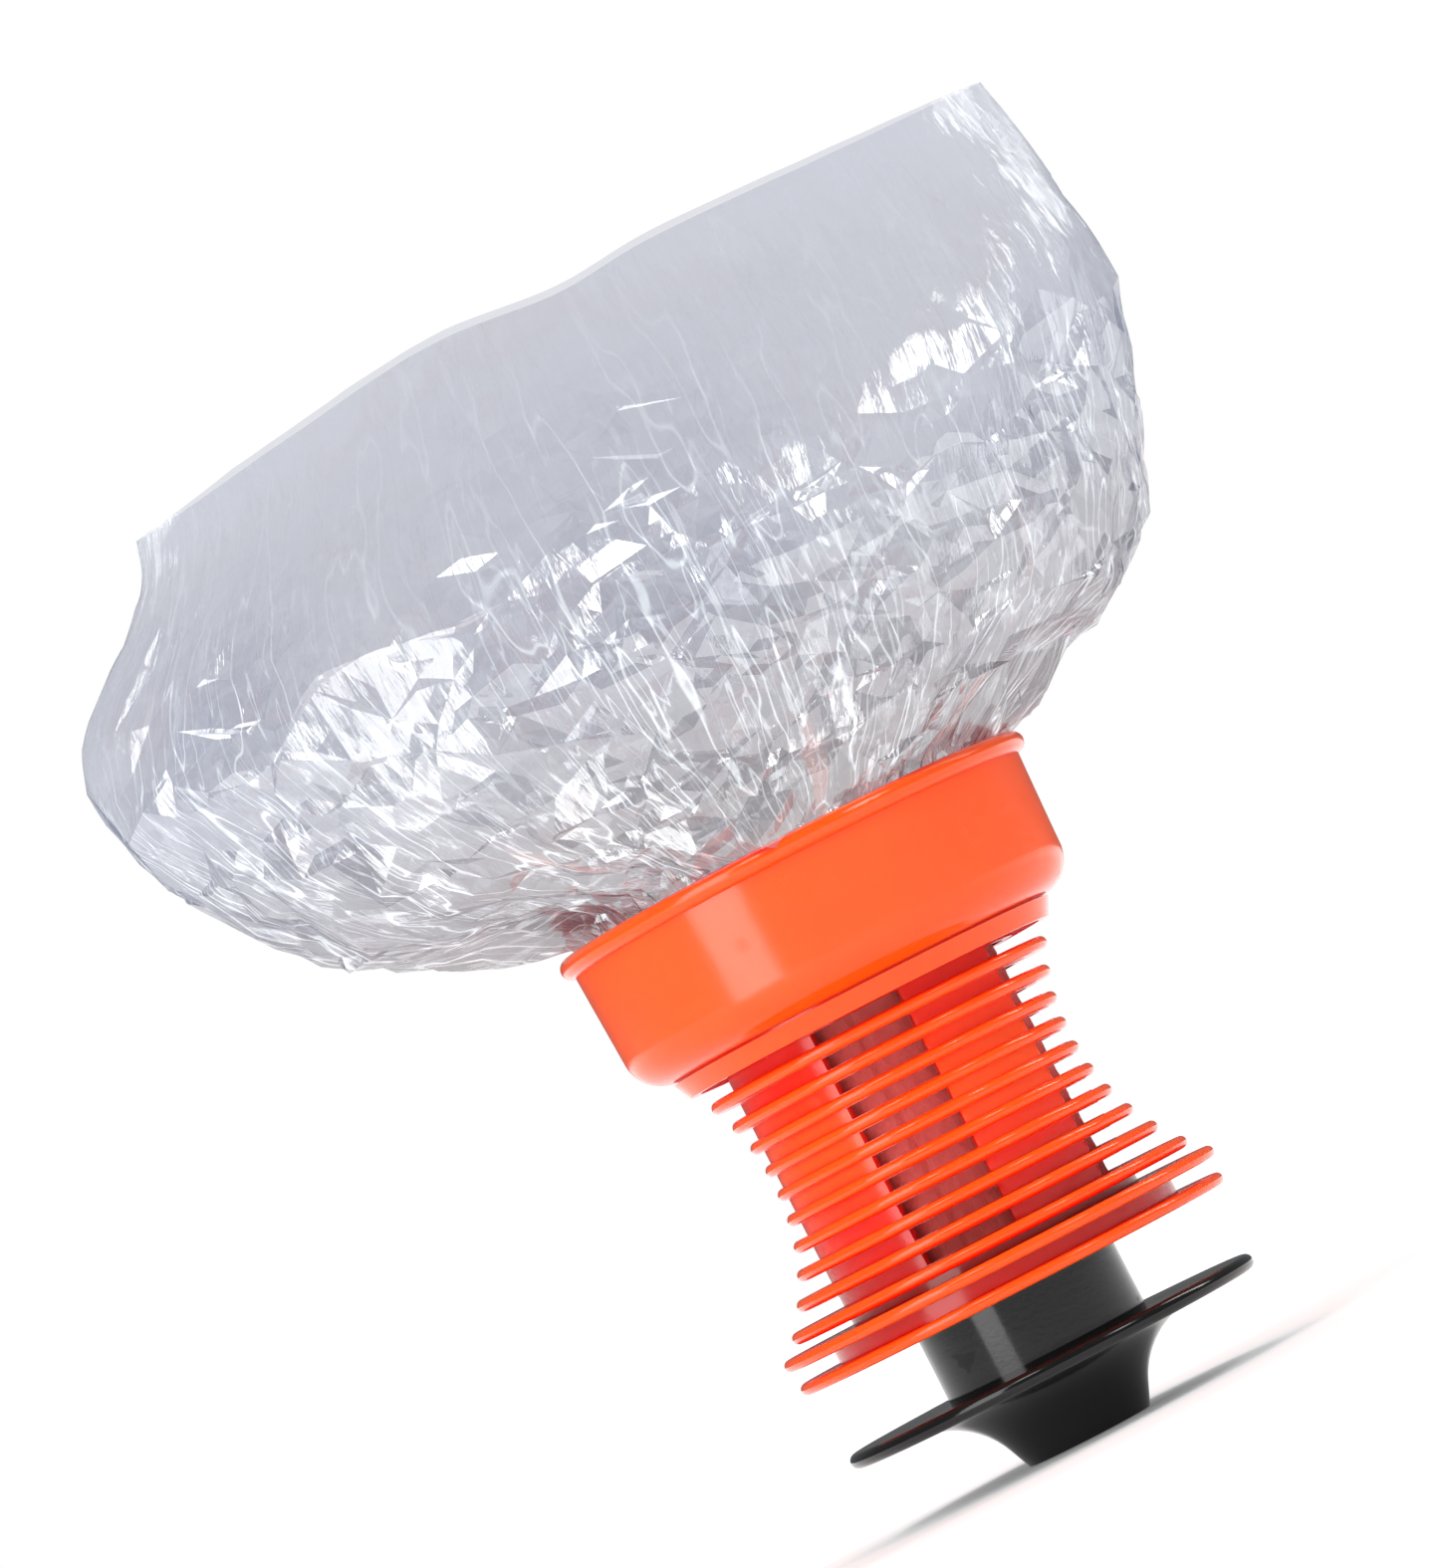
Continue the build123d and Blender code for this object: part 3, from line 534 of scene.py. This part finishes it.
unrest = unrest_at(spots)
up, in_cup, at_lip, at_clamp = shares_at(spots)
bend = pleats_at(spots) * 3.2 * mm * np.exp(-np.clip(up - 0.02, 0, 2) / 0.30) * (1 - 0.72 * in_cup)
bend += slopes(0.050, 1.0, spots) * 4.6 * mm * (0.16 + 0.84 * unrest) * (1 - 0.7 * in_cup) * (1 - 0.75 * at_lip)
bend += slopes(0.022, 1.6, spots) * 4.0 * mm * unrest * (1 - 0.65 * in_cup) * (1 - 0.6 * at_lip)
bend += film_random.uniform(-1, 1, len(spots)) * 1.7 * mm * np.clip(unrest - 0.1, 0, 1) * (1 - 0.6 * in_cup)
bend *= 1 - 0.9 * at_clamp
points = on_film(spots) + outward(spots) * bend[:, None]
for crumple in (0.30 * mm,):
    before = len(spots)
    spots, triangles, sides = halved(spots, triangles)
    middles = spots[before:]
    rough = np.clip(unrest_at(middles) - 0.10, 0, 1)
    ease = np.clip(1.6 - 4 * unrest_at(middles), 0, 1)[:, None]
    between_bend = bend[sides].mean(1)
    flat = points[sides].mean(1) * (1 - ease)
    flat += (on_film(middles) + outward(middles) * between_bend[:, None]) * ease
    flat += outward(middles) * (film_random.normal(0, crumple, len(middles)) * rough)[:, None]
    points, bend = np.concatenate((points, flat)), np.concatenate((bend, between_bend))

mesh = bpy.data.meshes.new("film_hood")
mesh.from_pydata(points.tolist(), [], triangles.tolist())
smooth = unrest_at(spots)[triangles].mean(1) < 0.30
mesh.polygons.foreach_set("use_smooth", smooth)
film_hood = bpy.data.objects.new("film_hood", mesh)
bpy.context.scene.collection.objects.link(film_hood)
calmness = mesh.attributes.new("unrest", "FLOAT", "POINT")
calmness.data.foreach_set("value", unrest_at(spots).astype(np.float32))

# The flat film as a UV map, in metres, and how many folds lie over each other in each facet.
corner_spots = spots[triangles]
corner_spots[:, 1:, 0] -= np.round(corner_spots[:, 1:, 0] - corner_spots[:, :1, 0])
flat_map = mesh.uv_layers.new(name="flat_film")
flat_map.data.foreach_set("uv", (corner_spots * (film_length, film_tall)).astype(np.float32).ravel())
facet_middles = corner_spots.mean(1) % (1.0, 9.0)
folds = 0.5 + 0.5 * slopes(0.016, 3.0, facet_middles) + film_random.normal(0, 0.16, len(triangles))
folds *= np.clip(1.3 * unrest_at(facet_middles) - 0.1, 0, 1)
fold_count = mesh.attributes.new("folds", "FLOAT", "FACE")
fold_count.data.foreach_set("value", np.clip(folds, 0, 1).astype(np.float32))

clear_film = Finish("clear_film")
film_unrest = clear_film.node("Attribute", {"attribute_name": "unrest"}, {}, "Fac")
film_folds = clear_film.node("Attribute", {"attribute_name": "folds"}, {}, "Fac")
film_flat = clear_film.node("UVMap", {"uv_map": "flat_film"}, {})


def drawn_lines(width, length, detail=2.0):
    """A noise value drawn out into long streaks up the film."""
    place = clear_film.node("VectorMath", {"operation": "MULTIPLY"}, {0: film_flat, 1: (1 / width, 1 / length, 1.0)})
    return clear_film.node("TexNoise", {}, {"Vector": place, "Scale": 1.0, "Detail": detail, "Roughness": 0.6})


film_cloud = clear_film.noise(26.0, 4.0)
film_streak = drawn_lines(0.0022, 0.016, 4.0)
hair_run = drawn_lines(0.0045, 0.055)
hair_lines = clear_film.between(1 - 26 * (hair_run - 0.5).math("ABSOLUTE"), 0.55, 0.95)
long_run = drawn_lines(0.011, 0.075)
long_lines = clear_film.between(1 - 38 * (long_run - 0.52).math("ABSOLUTE"), 0.50, 0.95)
crease_whitening_and_glints = (hair_lines * 0.6 * film_unrest + long_lines * 0.8 * (film_unrest * 0.8 + 0.16)).kept_in()
film_height = clear_film.node("SeparateXYZ", {}, {0: clear_film.place}, 2)
film_warm = 1 - clear_film.between(film_height, rim_height + 2 * mm, rim_height + 66 * mm)
in_the_cup = 1 - clear_film.between(film_height, rim_height - 1 * mm, rim_height + 6 * mm)
# Painted reflection of the orange cup: thin orange-red streaks on the lower film, and the film down in the cup painted
# orange-red.
painted_cup_reflection = clear_film.between(drawn_lines(0.013, 0.09), 0.60, 0.72) * film_warm
film_cool = clear_film.blend(film_cloud, (0.115, 0.130, 0.215, 1), (0.160, 0.182, 0.290, 1))
film_colour = clear_film.blend(0.9 * film_warm, film_cool, (0.135, 0.090, 0.085, 1))
film_colour = clear_film.blend((0.5 * painted_cup_reflection + 0.55 * in_the_cup).kept_in(), film_colour, (0.80, 0.22, 0.12, 1))
# Crease lines painted near white: partly the film's own whitening where it is creased, partly painted glints along the
# creases.
film_colour = clear_film.blend(crease_whitening_and_glints, film_colour, (0.88, 0.95, 1.0, 1))
film_bend = clear_film.bump(drawn_lines(0.010, 0.026, 2.0), 0.0009, clear_film.bump(film_streak, 0.00022))
film_surface = clear_film.plastic(film_colour, (0.05 + 0.09 * film_streak).kept_in(), film_bend,
                                  IOR=2.2, Specular_IOR_Level=1.0)
film_edge = clear_film.node("LayerWeight", {}, {"Blend": 0.30}, "Facing")
film_gap = clear_film.node("BsdfTransparent", {}, {"Color": (0.97, 0.98, 1.0, 1)})
film_body = (0.23 + 0.08 * film_cloud + 0.25 * film_edge ** 2.0 + 0.22 * film_folds + 0.12 * film_warm
             + 0.30 * crease_whitening_and_glints - 0.14 * in_the_cup).kept_in()
clear_film_material = clear_film.done(clear_film.node("MixShader", {}, {0: film_body, 1: film_gap, 2: film_surface}))
film_hood.data.materials.append(clear_film_material)
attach(film_hood, "grip")
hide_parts("hood_front_panel", "hood_back_panel")


# ---------------------------------------------------------------- floor, light and camera
# The part stands on its horn on a plain pale floor, in a white studio: a tall softbox to the left of the
# camera, a strip to the right and one overhead.
floor = bpy.data.objects.new("studio_floor", bpy.data.meshes.new("studio_floor"))
reach = 6.0
floor.data.from_pydata([(-reach, -reach, 0), (reach, -reach, 0), (reach, reach, 0), (-reach, reach, 0)], [],
                       [(0, 1, 2, 3)])
floor.location.z = cad_box[0].z - 0.2 * mm
bpy.context.scene.collection.objects.link(floor)
pale_floor = Finish("pale_floor")
floor_cloud = pale_floor.noise(3.0, 3.0)
floor_away = pale_floor.node("VectorMath", {"operation": "LENGTH"}, {0: pale_floor.place}, "Value")
floor_glow = pale_floor.blend(pale_floor.between(floor_away, 0.25, 1.3), (0.12, 0.12, 0.12, 1), (0.85, 0.85, 0.85, 1))
floor.data.materials.append(pale_floor.done(pale_floor.plastic(
    pale_floor.blend(floor_cloud, (0.88, 0.88, 0.88, 1), (0.91, 0.91, 0.91, 1)), 0.7,
    pale_floor.bump(floor_cloud, 0.0001), Emission_Color=floor_glow, Emission_Strength=1.0)))

world = bpy.data.worlds.new("studio")
bpy.context.scene.world = world
world.use_nodes = True
world.node_tree.nodes.clear()
seen = Finish.add_to(world.node_tree, "LightPath", {}, {}, "Is Camera Ray")
mirrored = Finish.add_to(world.node_tree, "LightPath", {}, {}, "Is Glossy Ray")
fill = Finish.add_to(world.node_tree, "Background", {}, {"Color": (1, 1, 1, 1), "Strength": 0.62})
dim = Finish.add_to(world.node_tree, "Background", {}, {"Color": (0.94, 0.97, 1.0, 1), "Strength": 0.16})
white = Finish.add_to(world.node_tree, "Background", {}, {"Color": (1, 1, 1, 1), "Strength": 1.0})
around = Finish.add_to(world.node_tree, "MixShader", {}, {0: mirrored, 1: fill, 2: dim})
sky = Finish.add_to(world.node_tree, "MixShader", {}, {0: seen, 1: around, 2: white})
world_out = world.node_tree.nodes.new("ShaderNodeOutputWorld")
world.node_tree.links.new(sky.socket, world_out.inputs["Surface"])


def softbox(name, azimuth, away, height, wide, tall, power, aim=0.12):
    """A lamp that faces the object's axis at a height, aim. Azimuth 0 is at the camera's side, 90 to its right."""
    lamp = bpy.data.lights.new(name, "AREA")
    lamp.shape, lamp.size, lamp.size_y = "RECTANGLE", wide, tall
    lamp.energy = power
    at = Vector((math.sin(math.radians(azimuth)) * away, -math.cos(math.radians(azimuth)) * away, height))
    box_ = bpy.data.objects.new(name, lamp)
    box_.location = at
    box_.rotation_euler = (Vector((0, 0, aim)) - at).to_track_quat("-Z", "Y").to_euler()
    bpy.context.scene.collection.objects.link(box_)


softbox("tall_softbox", -42, 0.9, 0.50, 0.42, 1.10, 6.5, aim=0.50)
softbox("right_strip", 104, 0.9, 0.75, 0.16, 0.6, 3.0)
softbox("top_softbox", 180, 0.45, 1.00, 0.6, 0.4, 3.5)
softbox("high_lamp_left", -20, 0.65, 0.85, 0.20, 0.20, 1.2)
softbox("high_lamp_right", 48, 0.70, 0.75, 0.18, 0.22, 1.2)

bpy.context.scene.view_settings.view_transform = "Standard"
frame_tall = 0.29925  # of the view, at the object
look_up = math.radians(3.3)
tilt = math.radians(27.18)
ahead = Vector((0, math.cos(look_up), math.sin(look_up)))
level_right, level_up = Vector((1, 0, 0)), Vector((0, -math.sin(look_up), math.cos(look_up)))
view_right = math.cos(tilt) * level_right - math.sin(tilt) * level_up
view_up = math.sin(tilt) * level_right + math.cos(tilt) * level_up
centre = Vector((0, 0, rim_height)) - 13.87 * mm * view_right + 13.78 * mm * view_up
camera_data = bpy.data.cameras.new("camera")
camera_data.sensor_width = 36.0
camera_data.lens = 180.0
away = frame_tall * camera_data.lens / camera_data.sensor_width
camera = bpy.data.objects.new("camera", camera_data)
camera.matrix_world = Matrix((
    (view_right.x, view_up.x, -ahead.x, centre.x - ahead.x * away),
    (view_right.y, view_up.y, -ahead.y, centre.y - ahead.y * away),
    (view_right.z, view_up.z, -ahead.z, centre.z - ahead.z * away),
    (0, 0, 0, 1)))
bpy.context.scene.collection.objects.link(camera)
bpy.context.scene.camera = camera
